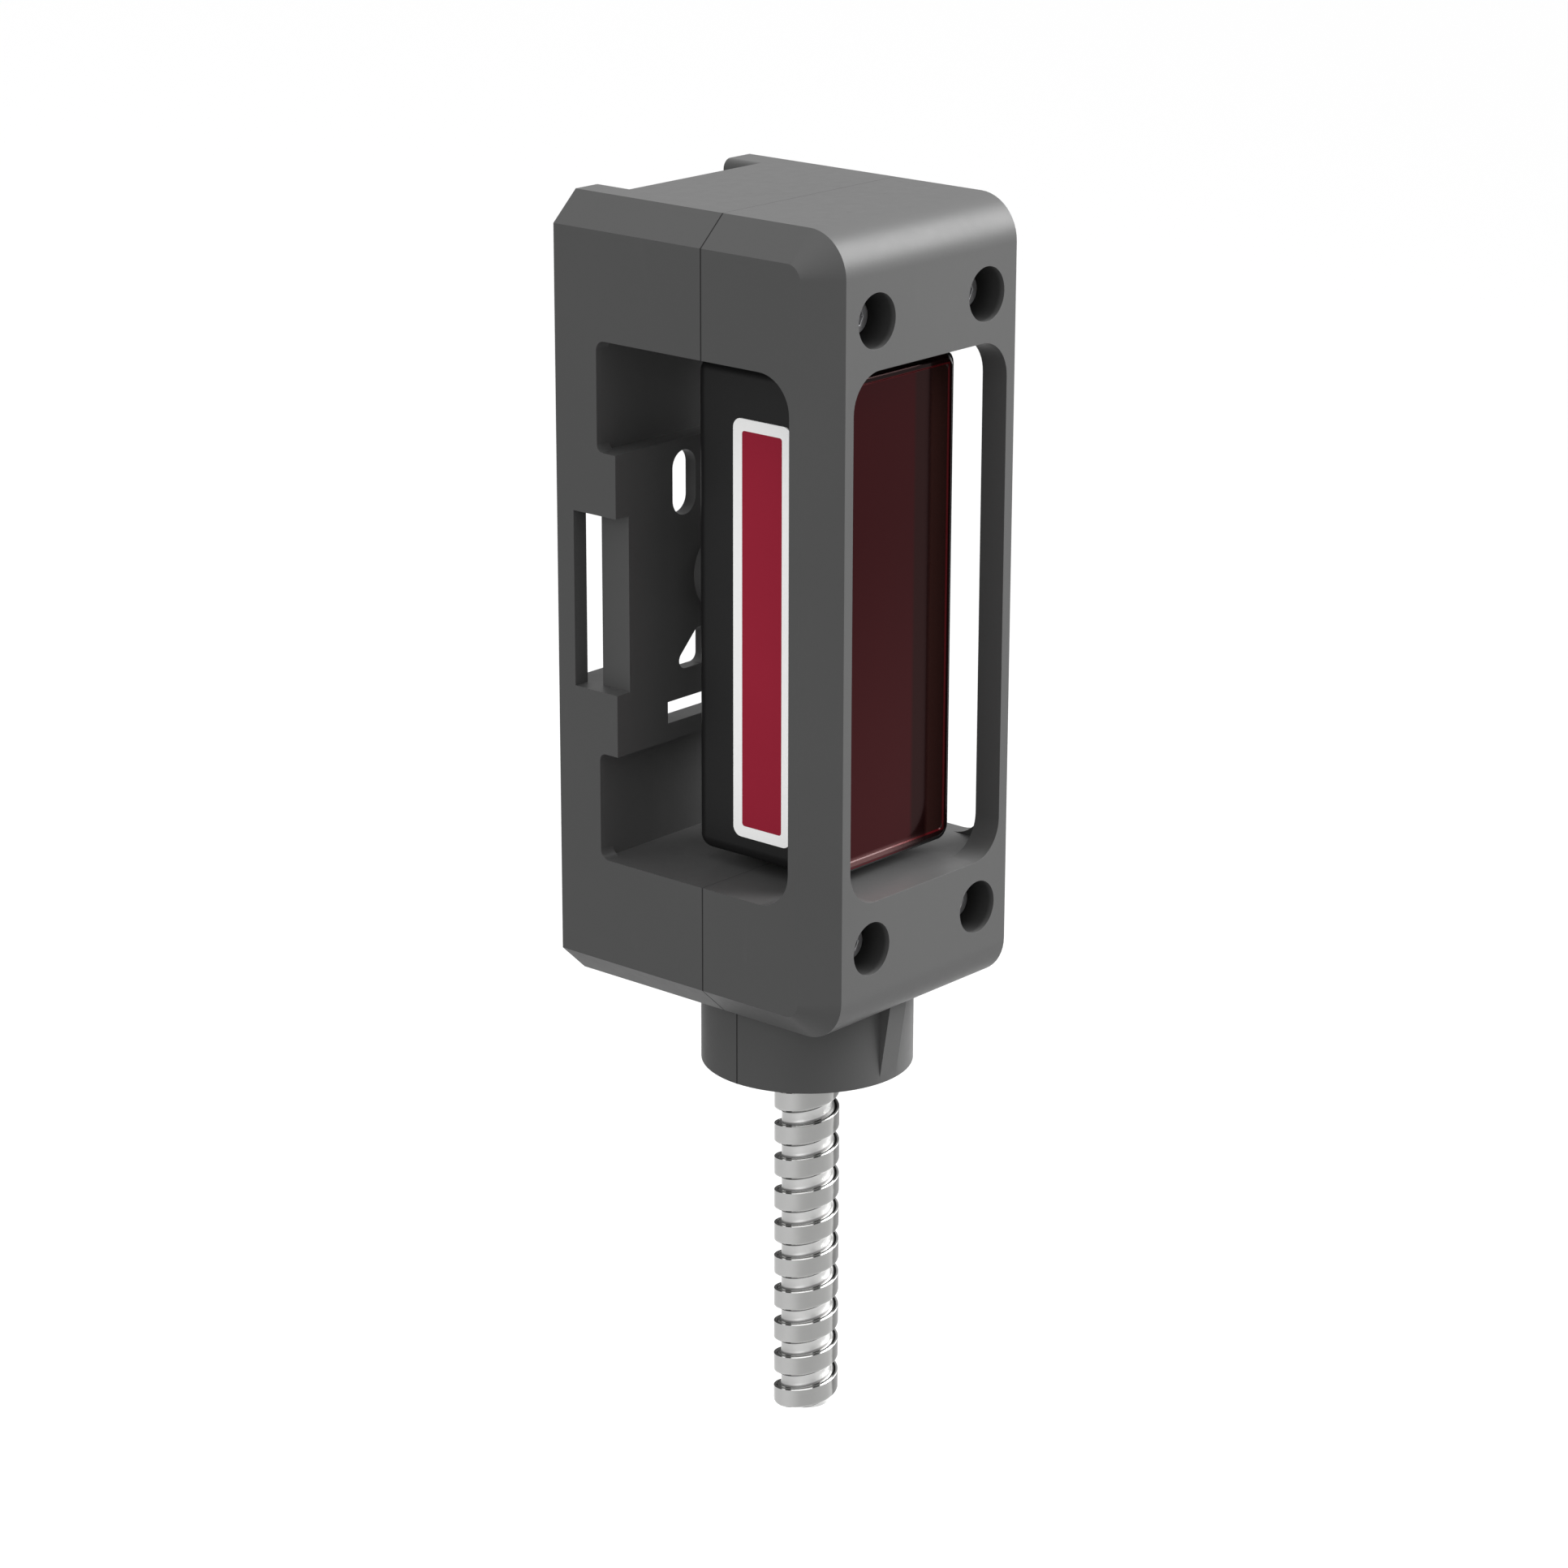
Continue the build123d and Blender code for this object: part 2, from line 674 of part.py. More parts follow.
nodes["wire_terminal"] = box(-terminal_half_width, terminal_half_width, seam_depth - terminal_reach, board_depth,
                             terminal_bottom_z, terminal_bottom_z + terminal_height)
nodes["carrier_screw_upper"] = carrier_screw(carrier_screw_upper_z)
nodes["carrier_screw_lower"] = carrier_screw(carrier_screw_lower_z)

nodes["fixing_insert"] = (
    along_y(insert_r, sensor_back_depth - insert_length, sensor_back_depth, 0, fixing_z)
    - along_y(fixing_screw_r + thread_clearance, sensor_back_depth - insert_length - 1,
              sensor_back_depth + 1, 0, fixing_z)
)
nodes["fixing_screw"] = fixing_screw()

gasket_hole = along_z(nipple_r + fit_gap, -cavity_half_height - 1, sensor_bottom_z + 1)
nodes["seat_gasket"] = along_z(seat_gasket_r, -cavity_half_height, sensor_bottom_z) - gasket_hole
nodes["sensor_nipple"] = sensor_nipple()
nodes["nipple_nut"] = nipple_nut()
nodes["conduit_bushing"] = conduit_bushing()
nodes["conduit_ferrule"] = conduit_ferrule()
nodes["flex_conduit"] = flex_conduit()
nodes["cable_jacket"] = cable_jacket()
for number, (x, y) in enumerate(wire_places(), 1):
    wire = along_z(wire_r, wire_bottom_z, terminal_bottom_z, x, y)
    copper = along_z(wire_copper_r, wire_bottom_z, terminal_bottom_z, x, y)
    nodes["wire_%d" % number] = wire - copper
    nodes["wire_copper_%d" % number] = copper

for node, shape in nodes.items():
    placed = Pos(0, -guard_depth, 0) * shape
    export_step(placed, "parts/%s.step" % node)
    solids = placed.solids()
    print(node, "solids", len(solids), "volume", round(placed.volume, 1), "valid", placed.is_valid)
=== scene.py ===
import json
import math

import bmesh
import bpy
from mathutils import Matrix, Vector


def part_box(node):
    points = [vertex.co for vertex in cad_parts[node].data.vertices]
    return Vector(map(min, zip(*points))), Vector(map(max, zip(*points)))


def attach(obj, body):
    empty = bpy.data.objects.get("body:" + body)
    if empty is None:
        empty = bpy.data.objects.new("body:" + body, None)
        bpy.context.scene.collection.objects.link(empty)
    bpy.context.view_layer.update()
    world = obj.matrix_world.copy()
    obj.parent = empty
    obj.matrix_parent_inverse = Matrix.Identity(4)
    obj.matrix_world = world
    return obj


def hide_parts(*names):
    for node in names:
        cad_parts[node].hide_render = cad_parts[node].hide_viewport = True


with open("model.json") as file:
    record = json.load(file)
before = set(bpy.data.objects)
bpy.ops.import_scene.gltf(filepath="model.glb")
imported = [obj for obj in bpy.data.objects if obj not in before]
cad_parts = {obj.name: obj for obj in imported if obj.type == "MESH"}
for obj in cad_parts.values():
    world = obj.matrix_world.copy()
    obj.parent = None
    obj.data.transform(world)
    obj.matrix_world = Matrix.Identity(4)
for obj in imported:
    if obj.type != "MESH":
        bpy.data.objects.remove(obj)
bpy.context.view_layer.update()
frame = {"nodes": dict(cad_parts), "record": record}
nodes = frame["nodes"]

MM = 0.001

# Places in the guard that a finish follows, in millimetres
GUARD_FRONT_Y = -54.0
SEAM_Y = -30.0
GUARD_SCREW_X = 12.9
GUARD_SCREW_Z = 49.0
SCREW_RECESS_R = 4.25
SCREW_RECESS_DEPTH = 6.9
KNURL_INNER_R = 2.4
KNURL_RIDGES = 32.0

# The conduit's wound strip, in millimetres
CONDUIT_PITCH = 5.79
CONDUIT_LEDGE = 0.3
CONDUIT_BAND_R = 5.25
CONDUIT_NECK_R = 4.05
CONDUIT_BORE_R = 3.4
CONDUIT_GROOVE_R = 4.70
CONDUIT_GROOVE_HALF_WIDTH = 0.2
CONDUIT_GROOVE_DEPTH = 0.4
CONDUIT_BAND_HEIGHT = 2.95
CONDUIT_SWELL_HEIGHT = 0.85
CONDUIT_TOP_ROUNDING = 0.07
CONDUIT_SPLIT_ANGLE = 36.0

# The camera's rightward direction, seen from above. The strip's tone and its dark patches are laid along it,
# in millimetres from the conduit's middle. They are no dirt: they stand in for the photograph's reflections
PICTURE_RIGHT = (0.655, -0.756)
DARK_PATCH_LEFT = -2.9
DARK_PATCH_RIGHT = 1.7
DARK_EDGE_LEFT = -4.1
DARK_EDGE_RIGHT = 4.3
TONE_LEFT = -3.6
TONE_RIGHT = -0.6

# The window moulding, in millimetres. The rim follows its edges. The darker bands at its right and the glow
# at its lower left stand in for reflections, placed as the photograph shows them from its own angle
WINDOW_RIM = 1.6
WINDOW_RIM_LINE = 1.82
WINDOW_DIM_FROM_LEFT = 20.2
WINDOW_DARK_FROM_LEFT = 23.8
WINDOW_GLOW_HEIGHT = 1.8
WINDOW_GLOW_FADE = (13.0, 26.0)
WINDOW_LIP_INSET = 0.45
WINDOW_LIP_PROUD = 0.55
WINDOW_CORNER_R = 2.4

# The label's white margin and the field's corners, in millimetres
LABEL_MARGIN = 1.85
LABEL_FIELD_CORNER_R = 0.5

# Piece edges are eased where two faces meet at more than this, in degrees
EASED_ANGLE = 32.0

# The photograph's camera, fitted to it: place in metres, aim, roll in degrees, lens in millimetres
CAMERA_PLACE = (-0.519564, -0.475485, 0.190426)
CAMERA_AIM = (0.718912, 0.623425, -0.307420)
CAMERA_ROLL = -0.154
CAMERA_SENSOR = 36.0
CAMERA_LENS = 104.858

# The studio, in metres. The floor isn't even: it is painted bright where the picture shows it, far behind
# the part and right of the line that the picture's left edge draws on it, and grey elsewhere
FLOOR_LEVEL = -1.0
FLOOR_REACH = 40.0
FLOOR_BEHIND = (0.85, 0.52)
FLOOR_BEHIND_START = 0.3
FLOOR_BEHIND_FULL = 1.45
FLOOR_EDGE_NORMAL = (0.799, -0.602)
FLOOR_EDGE_START = -0.7
FLOOR_EDGE_FULL = -0.02
PART_MIDDLE = (0.0, -0.03, 0.0)


class Value:
    """A number that varies over a surface. Plain arithmetic on it adds the Math nodes."""

    def __init__(self, nodes, socket):
        self.nodes = nodes
        self.socket = socket

    def made_with(self, operation, first, second=0.0):
        return self.nodes.node("ShaderNodeMath", {"operation": operation}, {0: first, 1: second})

    def __add__(self, other):
        return self.made_with("ADD", self, other)

    def __radd__(self, other):
        return self.made_with("ADD", other, self)

    def __sub__(self, other):
        return self.made_with("SUBTRACT", self, other)

    def __rsub__(self, other):
        return self.made_with("SUBTRACT", other, self)

    def __mul__(self, other):
        return self.made_with("MULTIPLY", self, other)

    def __rmul__(self, other):
        return self.made_with("MULTIPLY", other, self)

    def __truediv__(self, other):
        return self.made_with("DIVIDE", self, other)

    def __pow__(self, other):
        return self.made_with("POWER", self, other)

    def __gt__(self, other):
        return self.made_with("GREATER_THAN", self, other)

    def __lt__(self, other):
        return self.made_with("LESS_THAN", self, other)

    def __abs__(self):
        return self.made_with("ABSOLUTE", self)

    def less_of(self, other):
        return self.made_with("MINIMUM", self, other)

    def more_of(self, other):
        return self.made_with("MAXIMUM", self, other)

    def sine(self):
        return self.made_with("SINE", self)

    def angle_from(self, along):
        """The angle, from minus pi to pi, of the point that lies this far up and that far along."""
        return self.made_with("ARCTAN2", self, along)


class Nodes:
    """A node tree, written as expressions."""

    def __init__(self, tree):
        self.tree = tree

    def node(self, kind, settings, inputs, output=0):
        """Adds a node: its settings first, then the values or links of its sockets."""
        made = self.tree.nodes.new(kind)
        for setting, value in settings.items():
            setattr(made, setting, value)
        for socket, value in inputs.items():
            if isinstance(value, Value):
                self.tree.links.new(value.socket, made.inputs[socket])
            else:
                made.inputs[socket].default_value = value
        return Value(self, made.outputs[output])

    def ramp(self, value, low, high):
        """0 below low and 1 above high, with a soft change between."""
        return self.node("ShaderNodeMapRange", {"interpolation_type": "SMOOTHSTEP"},
                         {"Value": value, "From Min": low, "From Max": high})

    def mixed(self, amount, first, second):
        """Two colours mixed by an amount from 0 to 1."""
        return self.node("ShaderNodeMix", {"data_type": "RGBA"},
                         {0: amount, 6: colour(first), 7: colour(second)}, 2)


class Finish(Nodes):
    """One material: its node tree, and the shader that its surface ends in."""

    def __init__(self, name):
        self.material = bpy.data.materials.new(name)
        self.material.use_nodes = True
        super().__init__(self.material.node_tree)
        self.shader = self.tree.nodes["Principled BSDF"]
        self.place = self.node("ShaderNodeTexCoord", {}, {}, "Object")

    def feed(self, socket, value):
        """Sets a number on one of the shader's sockets, or links what varies to it."""
        if isinstance(value, Value):
            self.tree.links.new(value.socket, self.shader.inputs[socket])
        else:
            self.shader.inputs[socket].default_value = value

    def stretched(self, along_x, along_y, along_z):
        """The surface's place with each axis scaled, to draw a grain out into lines."""
        return self.node("ShaderNodeVectorMath", {"operation": "MULTIPLY"},
                         {0: self.place, 1: (along_x, along_y, along_z)})

    def axis(self, name):
        """One coordinate of the surface's place, in millimetres."""
        return self.node("ShaderNodeSeparateXYZ", {}, {"Vector": self.place}, name) / MM

    def facing(self, name):
        """How much the surface faces along an axis, from 0 to 1 whichever way."""
        normal = self.node("ShaderNodeTexCoord", {}, {}, "Normal")
        return abs(self.node("ShaderNodeSeparateXYZ", {}, {"Vector": normal}, name))

    def noise(self, per_mm, detail=3.0, place=None, roughness=0.5):
        """Cloudy variation from 0 to 1, with this many cells to the millimetre."""
        return self.node("ShaderNodeTexNoise", {},
                         {"Vector": place or self.place, "Scale": per_mm / MM,
                          "Detail": detail, "Roughness": roughness})

    def raised(self, height, depth_mm, under=None):
        """A relief of this depth, laid over another relief if one is given."""
        inputs = {"Height": height, "Distance": depth_mm * MM, "Strength": 1.0}
        if under is not None:
            inputs["Normal"] = under
        return self.node("ShaderNodeBump", {}, inputs)


def colour(value):
    """A colour as the mix node takes it: a link, or red, green, blue and alpha."""
    if isinstance(value, Value):
        return value
    return (*value, 1.0)


def scaled(tone, factor):
    """A colour made darker or lighter."""
    return tuple(min(1.0, channel * factor) for channel in tone)


def powder_coat():
    """Grey powder coat: fine orange peel, a cloudy tone, and a dark line at the seam.

    The shade in the deep screw recesses is partly painted, and the seam's line is paler on the top.
    """
    finish = Finish("grey_powder_coat")
    grain = finish.noise(2.4, 2.0)
    peel = finish.noise(0.5, 2.0)
    cloud = finish.noise(0.03, 3.0)
    scuff = finish.ramp(finish.noise(0.35, 5.0, finish.stretched(1.0, 1.0, 0.25)), 0.66, 0.8)
    from_seam = abs(finish.axis("Y") - SEAM_Y)
    seam = (1.0 - finish.ramp(from_seam, 0.06, 0.15)) * (finish.facing("Y") < 0.5)
    seam = seam * (1.0 - 0.75 * finish.ramp(finish.facing("Z"), 0.93, 0.97))
    recess_x = abs(finish.axis("X")) - GUARD_SCREW_X
    recess_z = abs(finish.axis("Z")) - GUARD_SCREW_Z
    in_recess = (recess_x * recess_x + recess_z * recess_z) ** 0.5 < SCREW_RECESS_R + 0.1
    depth = finish.axis("Y") - GUARD_FRONT_Y
    in_recess = in_recess * finish.ramp(depth, 0.3, 1.2) * (depth < SCREW_RECESS_DEPTH + 0.1)
    paint = finish.mixed(cloud, (0.069, 0.0692, 0.069), (0.077, 0.0772, 0.077))
    worn = finish.mixed(0.25 * scuff, paint, (0.09, 0.09, 0.09))
    recessed = finish.mixed(0.6 * in_recess, worn, (0.012, 0.012, 0.012))
    finish.feed("Base Color", finish.mixed(0.85 * seam, recessed, (0.006, 0.006, 0.006)))
    finish.feed("Roughness", 0.38 + 0.08 * peel + 0.05 * cloud + 0.08 * scuff + 0.3 * seam)
    finish.feed("Specular IOR Level", 0.21)
    relief = finish.raised(grain, 0.006, finish.raised(peel, 0.008))
    finish.feed("Normal", finish.raised(1.0 - seam, 0.12, relief))
    return finish.material


def moulded_plastic(name, tone, rough=0.45, grain_mm=0.3, relief=0.01, shine=0.5, spread=0.12):
    """A plain moulding: spark-eroded grain and a little unevenness in tone and gloss."""
    finish = Finish(name)
    grain = finish.noise(1.0 / grain_mm, 3.0)
    cloud = finish.noise(0.06, 2.0)
    finish.feed("Base Color", finish.mixed(cloud, scaled(tone, 1.0 - spread), scaled(tone, 1.0 + spread)))
    finish.feed("Roughness", rough - 0.06 + 0.12 * grain)
    finish.feed("Specular IOR Level", shine)
    finish.feed("Normal", finish.raised(grain, relief))
    return finish.material


def rubber(name, tone):
    """Soft rubber: matt, with a dusty bloom in patches."""
    finish = Finish(name)
    grain = finish.noise(3.0, 3.0)
    bloom = finish.ramp(finish.noise(0.25, 4.0), 0.5, 0.75)
    finish.feed("Base Color", finish.mixed(bloom, tone, tuple(c * 1.8 + 0.01 for c in tone)))
    finish.feed("Roughness", 0.68 + 0.2 * bloom)
    finish.feed("Normal", finish.raised(grain, 0.02))
    return finish.material


def turned_metal(name, tone, rough=0.26, lines=(1.0, 1.0, 14.0), relief=0.004, stain=0.75):
    """Turned or drawn metal: fine tool lines, and duller, darker patches where it was handled."""
    finish = Finish(name)
    tool_lines = finish.noise(1.2, 3.0, finish.stretched(*lines))
    dull = finish.ramp(finish.noise(0.2, 4.0), 0.45, 0.8)
    finish.feed("Base Color", finish.mixed(dull, tone, scaled(tone, stain)))
    finish.feed("Metallic", 1.0)
    finish.feed("Roughness", rough + 0.1 * tool_lines + 0.12 * dull)
    finish.feed("Normal", finish.raised(tool_lines, relief))
    return finish.material


def knurled_screw():
    """Dark oiled screw steel. The heads of the guard's screws are knurled round their sides."""
    finish = Finish("knurled_screw_steel")
    across = abs(finish.axis("X")) - GUARD_SCREW_X
    upward = abs(finish.axis("Z")) - GUARD_SCREW_Z
    reach = (across * across + upward * upward) ** 0.5
    ridge = (upward.angle_from(across) * KNURL_RIDGES).sine() * 0.5 + 0.5
    knurl = ridge * finish.ramp(reach, KNURL_INNER_R, KNURL_INNER_R + 0.2) * (finish.facing("Y") < 0.5)
    tool_lines = finish.noise(1.2, 3.0, finish.stretched(1.0, 8.0, 1.0))
    oil = finish.ramp(finish.noise(0.5, 4.0), 0.4, 0.75)
    finish.feed("Base Color", finish.mixed(oil, (0.6, 0.6, 0.61), (0.4, 0.4, 0.41)))
    finish.feed("Metallic", 1.0)
    finish.feed("Roughness", 0.28 + 0.1 * tool_lines + 0.14 * oil)
    finish.feed("Normal", finish.raised(knurl, 0.14, finish.raised(tool_lines, 0.004)))
    return finish.material


def zinc_strip():
    """Zinc-plated strip: rolling lines along the winding, faint spangle, and a groove painted dark as shade.

    Its tone from left to right, its dark right edge and the dark patches on its ledge are painted reflections
    and shade, laid for the camera's angle; its neck and upward faces are painted paler as light.
    """
    finish = Finish("zinc_plated_strip")
    along, depth = finish.axis("X"), finish.axis("Y") - SEAM_Y
    angle = depth.angle_from(along)
    climb = finish.axis("Z") - angle * (CONDUIT_PITCH / (2 * math.pi))
    winding = finish.node("ShaderNodeCombineXYZ", {}, {"X": climb * 3.0, "Y": angle * 0.6, "Z": 0.0})
    rolling = finish.node("ShaderNodeTexNoise", {}, {"Vector": winding, "Scale": 5.0, "Detail": 3.0})
    spangle = finish.noise(0.45, 4.0)
    dull = finish.ramp(finish.noise(0.09, 3.0), 0.4, 0.75)
    reach = (along * along + depth * depth) ** 0.5
    rightward = along * PICTURE_RIGHT[0] + depth * PICTURE_RIGHT[1]
    ledge = finish.facing("Z") > 0.6
    # Painted shade: the ring of the narrow groove on the ledge is painted dark.
    groove = 1.0 - finish.ramp(abs(reach - CONDUIT_GROOVE_R), 0.16, 0.24)
    # Painted reflections: dark patches on the ledge at fixed places along the camera's rightward direction.
    left = 1.0 - finish.ramp(abs(rightward - DARK_PATCH_LEFT), 0.35, 0.6)
    right = 1.0 - finish.ramp(abs(rightward - DARK_PATCH_RIGHT), 0.45, 0.8)
    edge = 1.0 - finish.ramp(rightward, DARK_EDGE_LEFT, DARK_EDGE_LEFT + 0.4)
    patches = left.more_of(right).more_of(edge)
    # Painted shade: the neck's foot just above the ledge is painted dark.
    foot = finish.ramp(finish.facing("Z"), 0.1, 0.25) * (reach < CONDUIT_NECK_R + 0.12)
    dark = (ledge * groove.more_of(0.97 * patches)).more_of(0.8 * foot)
    # Painted reflection and shade: the strip's right edge in the camera's view is painted dark.
    right_edge = finish.ramp(rightward + 0.4 * spangle, DARK_EDGE_RIGHT, DARK_EDGE_RIGHT + 0.35)
    # Painted light and shade: the strip's tone is lighter at its left and darker at its right in the camera's
    # view.
    painted_light_across = finish.ramp(rightward, TONE_LEFT, TONE_RIGHT)
    painted_lit_tone = finish.mixed(dull, (0.87, 0.87, 0.86), (0.81, 0.81, 0.80))
    painted_shaded_tone = finish.mixed(dull, (0.59, 0.59, 0.58), (0.53, 0.53, 0.52))
    plated = finish.mixed(painted_light_across, painted_lit_tone, painted_shaded_tone)
    # Painted light: the neck and the upward faces are painted paler.
    painted_neck_light = 1.0 - finish.ramp(reach, CONDUIT_NECK_R + 0.3, CONDUIT_BAND_R - 0.1)
    painted_light_neck_and_top = painted_neck_light.more_of(finish.ramp(finish.facing("Z"), 0.3, 0.6))
    bright = finish.mixed(painted_light_neck_and_top, plated, (0.92, 0.92, 0.91))
    edged = finish.mixed(0.75 * right_edge, bright, (0.05, 0.05, 0.05))
    finish.feed("Base Color", finish.mixed(0.97 * dark, edged, (0.01, 0.01, 0.01)))
    finish.feed("Metallic", 1.0)
    finish.feed("Roughness", 0.32 + 0.08 * spangle + 0.08 * dull + 0.2 * dark)
    finish.feed("Normal", finish.raised(rolling, 0.003, finish.raised(spangle, 0.003)))
    return finish.material


def red_window():
    """Deep red window moulding, polished, with a darker rim.

    Its darker bands at the right, its glow at the lower left and its change of tone with height are painted
    reflections and shade, laid for the camera's angle.
    """
    finish = Finish("deep_red_window")
    low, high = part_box("sensor_case")
    middle, half = (low + high) / (2 * MM), (high - low) / (2 * MM)
    from_bottom = finish.axis("Z") - low.z / MM
    from_left = finish.axis("X") - low.x / MM
    from_side = half.x - abs(finish.axis("X") - middle.x)
    from_end = half.z - abs(finish.axis("Z") - middle.z)
    from_rim = from_side.less_of(from_end)
    ripple = finish.noise(0.06, 2.0, finish.stretched(1.0, 1.0, 0.2))
    dust = finish.ramp(finish.noise(0.9, 5.0), 0.62, 0.85)
    # Painted reflection: the red is lighter low down and darker high up.
    height = finish.ramp(from_bottom, 2.0, 60.0)
    low_red = finish.mixed(ripple, (0.044, 0.0026, 0.0042), (0.053, 0.0035, 0.0053))
    high_red = finish.mixed(ripple, (0.026, 0.0004, 0.0014), (0.032, 0.0007, 0.0019))
    red = finish.mixed(height, low_red, high_red)
    # Painted reflection and shade: two darker bands towards the window's right.
    dimmed = 0.75 * finish.ramp(from_left, WINDOW_DIM_FROM_LEFT, WINDOW_DIM_FROM_LEFT + 1.0)
    dim_red = finish.mixed(dimmed, red, (0.013, 0.0035, 0.0030))
    dark_band = 0.8 * finish.ramp(from_left, WINDOW_DARK_FROM_LEFT, WINDOW_DARK_FROM_LEFT + 1.2)
    banded_red = finish.mixed(dark_band, dim_red, (0.022, 0.0085, 0.0070))
    rim = 1.0 - finish.ramp(from_rim, WINDOW_RIM, WINDOW_RIM + 0.15)
    line = 1.0 - finish.ramp(abs(from_rim - WINDOW_RIM_LINE), 0.1, 0.2)
    dark = finish.mixed(rim, banded_red, (0.009, 0.0020, 0.0020))
    lined = finish.mixed(line, dark, (0.08, 0.004, 0.006))
    # Painted reflection: a pink glow along the lower edge, fading to the right.
    low_edge = 1.0 - finish.ramp(from_bottom, WINDOW_GLOW_HEIGHT, WINDOW_GLOW_HEIGHT + 0.8)
    glow = low_edge * (1.0 - finish.ramp(from_left, *WINDOW_GLOW_FADE))
    pink = finish.mixed(finish.ramp(from_bottom, 0.6, 1.0), (0.22, 0.022, 0.034), (0.11, 0.05, 0.05))
    finish.feed("Base Color", finish.mixed(0.85 * glow, lined, pink))
    finish.feed("Metallic", 0.8 - 0.75 * glow.more_of(dark_band))
    finish.feed("Roughness", 0.1 + 0.08 * dust + 0.3 * glow)
    finish.feed("Coat Weight", 0.10 - 0.075 * height)
    finish.feed("Coat Roughness", 0.04)
    finish.feed("Specular IOR Level", 0.1)
    finish.feed("Normal", finish.raised(ripple, 0.015))
    return finish.material


def label_sheet():
    """White laminated label with a bare dark red field, its corners rounded."""
    finish = Finish("label_sheet")
    low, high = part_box("sensor_label")
    middle = (low + high) / (2 * MM)
    half = (high - low) / (2 * MM)
    corner = LABEL_FIELD_CORNER_R
    inset = LABEL_MARGIN + corner
    across = (abs(finish.axis("Y") - middle.y) - (half.y - inset)).more_of(0.0)
    upward = (abs(finish.axis("Z") - middle.z) - (half.z - inset)).more_of(0.0)
    reach = (across * across + upward * upward) ** 0.5
    field = 1.0 - finish.ramp(reach, corner - 0.02, corner + 0.02)
    paper = finish.noise(0.4, 3.0)
    cloud = finish.noise(0.05, 2.0)
    white = finish.mixed(paper, (0.96, 0.96, 0.955), (0.99, 0.99, 0.985))
    red = finish.mixed(cloud, (0.285, 0.015, 0.034), (0.315, 0.017, 0.038))
    finish.feed("Base Color", finish.mixed(field, white, red))
    finish.feed("Roughness", 0.42 + 0.1 * paper - 0.04 * field)
    finish.feed("Specular IOR Level", 0.06)
    finish.feed("Normal", finish.raised(paper, 0.004, finish.raised(field, 0.01)))
    return finish.material


def clear_resin(name, tone, rough=0.06):
    """Clear or tinted resin, with faint flow marks."""
    finish = Finish(name)
    flow = finish.noise(0.35, 3.0)
    finish.feed("Base Color", finish.mixed(flow, tone, scaled(tone, 1.08)))
    finish.feed("Roughness", rough + 0.06 * flow)
    finish.feed("Transmission Weight", 0.8)
    finish.feed("IOR", 1.52)
    finish.feed("Normal", finish.raised(flow, 0.004))
    return finish.material


def board_laminate():
    """Green solder mask with copper lines showing as a paler green under it."""
    finish = Finish("board_laminate")
    upright = finish.node("ShaderNodeTexWave", {"wave_type": "BANDS", "bands_direction": "X"},
                          {"Vector": finish.place, "Scale": 130.0, "Distortion": 2.0, "Detail": 1.0}, "Fac")
    tracks = finish.ramp(upright, 0.7, 0.75)
    cloud = finish.noise(0.2, 2.0)
    mask = finish.mixed(cloud, (0.006, 0.075, 0.03), (0.008, 0.095, 0.04))
    finish.feed("Base Color", finish.mixed(tracks, mask, (0.03, 0.2, 0.08)))
    finish.feed("Roughness", 0.3 + 0.1 * cloud)
    finish.feed("Normal", finish.raised(tracks, 0.03))
    return finish.material


FINISHES = {
    "guard_paint": powder_coat(),
    "case_plastic": moulded_plastic("black_case_plastic", (0.008, 0.008, 0.0082), 0.44, 0.25, 0.006, 0.3),
    "window_plastic": red_window(),
    "label_sheet": label_sheet(),
    "black_rubber": rubber("black_rubber", (0.012, 0.012, 0.012)),
    "screw_steel": knurled_screw(),
    "conduit_steel": zinc_strip(),
    "bushing_steel": turned_metal("plated_bushing_steel", (0.5, 0.5, 0.49), 0.32),
    "nipple_brass": turned_metal("turned_brass", (0.68, 0.5, 0.22), 0.24),
    "inner_plastic": moulded_plastic("black_carrier_plastic", (0.010, 0.010, 0.010), 0.38, 0.35, 0.01),
    "clear_lens": clear_resin("clear_lens_resin", (0.85, 0.86, 0.88)),
    "filter_film": moulded_plastic("dark_filter_film", (0.012, 0.011, 0.014), 0.16, 0.9, 0.002),
    "diode_resin": clear_resin("clear_diode_resin", (0.72, 0.7, 0.62), 0.1),
    "light_resin": clear_resin("green_light_resin", (0.1, 0.55, 0.16), 0.15),
    "board_laminate": board_laminate(),
    "chip_body": moulded_plastic("chip_body", (0.015, 0.015, 0.017), 0.5, 0.15, 0.006),
    "terminal_plastic": moulded_plastic("green_terminal_plastic", (0.02, 0.16, 0.05), 0.4, 0.5, 0.006),
    "cable_sheath": rubber("cable_sheath", (0.014, 0.014, 0.014)),
    "wire_brown": moulded_plastic("wire_brown", (0.09, 0.03, 0.012), 0.38, 0.3, 0.004),
    "wire_white": moulded_plastic("wire_white", (0.75, 0.75, 0.72), 0.38, 0.3, 0.004),
    "wire_blue": moulded_plastic("wire_blue", (0.01, 0.05, 0.3), 0.38, 0.3, 0.004),
    "wire_black": moulded_plastic("wire_black", (0.012, 0.012, 0.012), 0.38, 0.3, 0.004),
    "bare_copper": turned_metal("bare_copper", (0.75, 0.34, 0.18), 0.22, (8.0, 8.0, 1.0)),
}

slot_of = {part["node"]: part["material_slot"] for part in frame["record"]["subparts"]}
for node, piece in nodes.items():
    for slot in piece.material_slots:
        slot.material = FINISHES[slot_of[node]]


